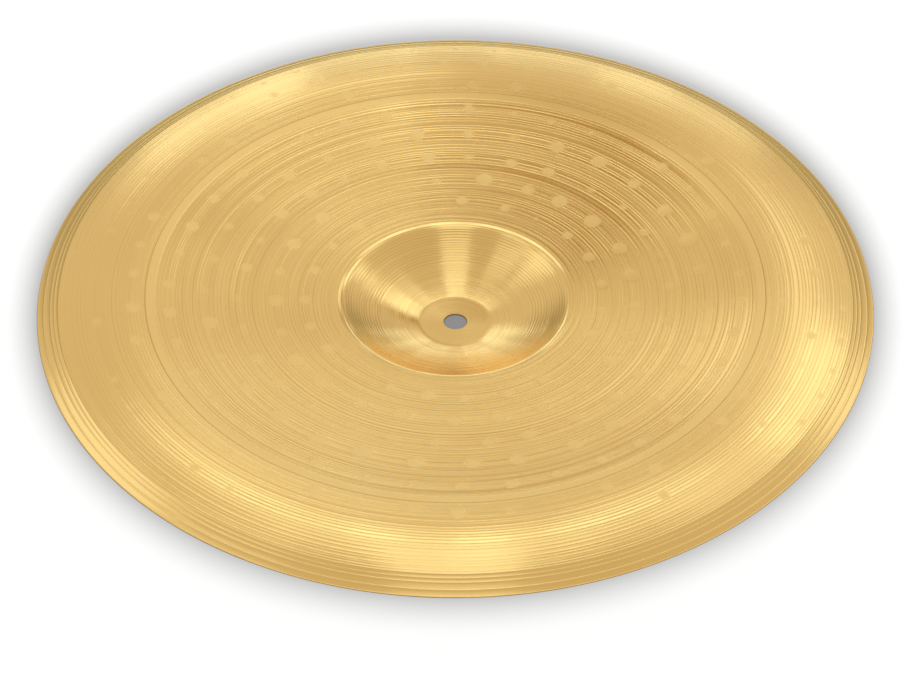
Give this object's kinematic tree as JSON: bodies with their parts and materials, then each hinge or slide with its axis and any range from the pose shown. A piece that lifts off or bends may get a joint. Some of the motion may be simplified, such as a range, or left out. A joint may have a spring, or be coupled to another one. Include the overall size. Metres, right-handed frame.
{
  "type": "china cymbal",
  "caption": "Round china cymbal of thin turned brass, with a flat-topped bell, a shallow bow, a turned-back flange at the edge and a plain centre hole.",
  "frame": {"origin": "on the plate's axis, at the underside of the flat boss that the plate stands on when it lies on its bell", "axes": "+Z along the plate's axis, out of the hollow side of the bell; the plate is the same all round, so +X and +Y may point anywhere across it"},
  "size_m": [0.4572, 0.4572, 0.032],
  "materials": {
    "brass": "polished, with hammer marks and fine turned grooves"
  },
  "bodies": {
    "root": {"cymbal_plate": "brass"}
  },
  "joints": []
}
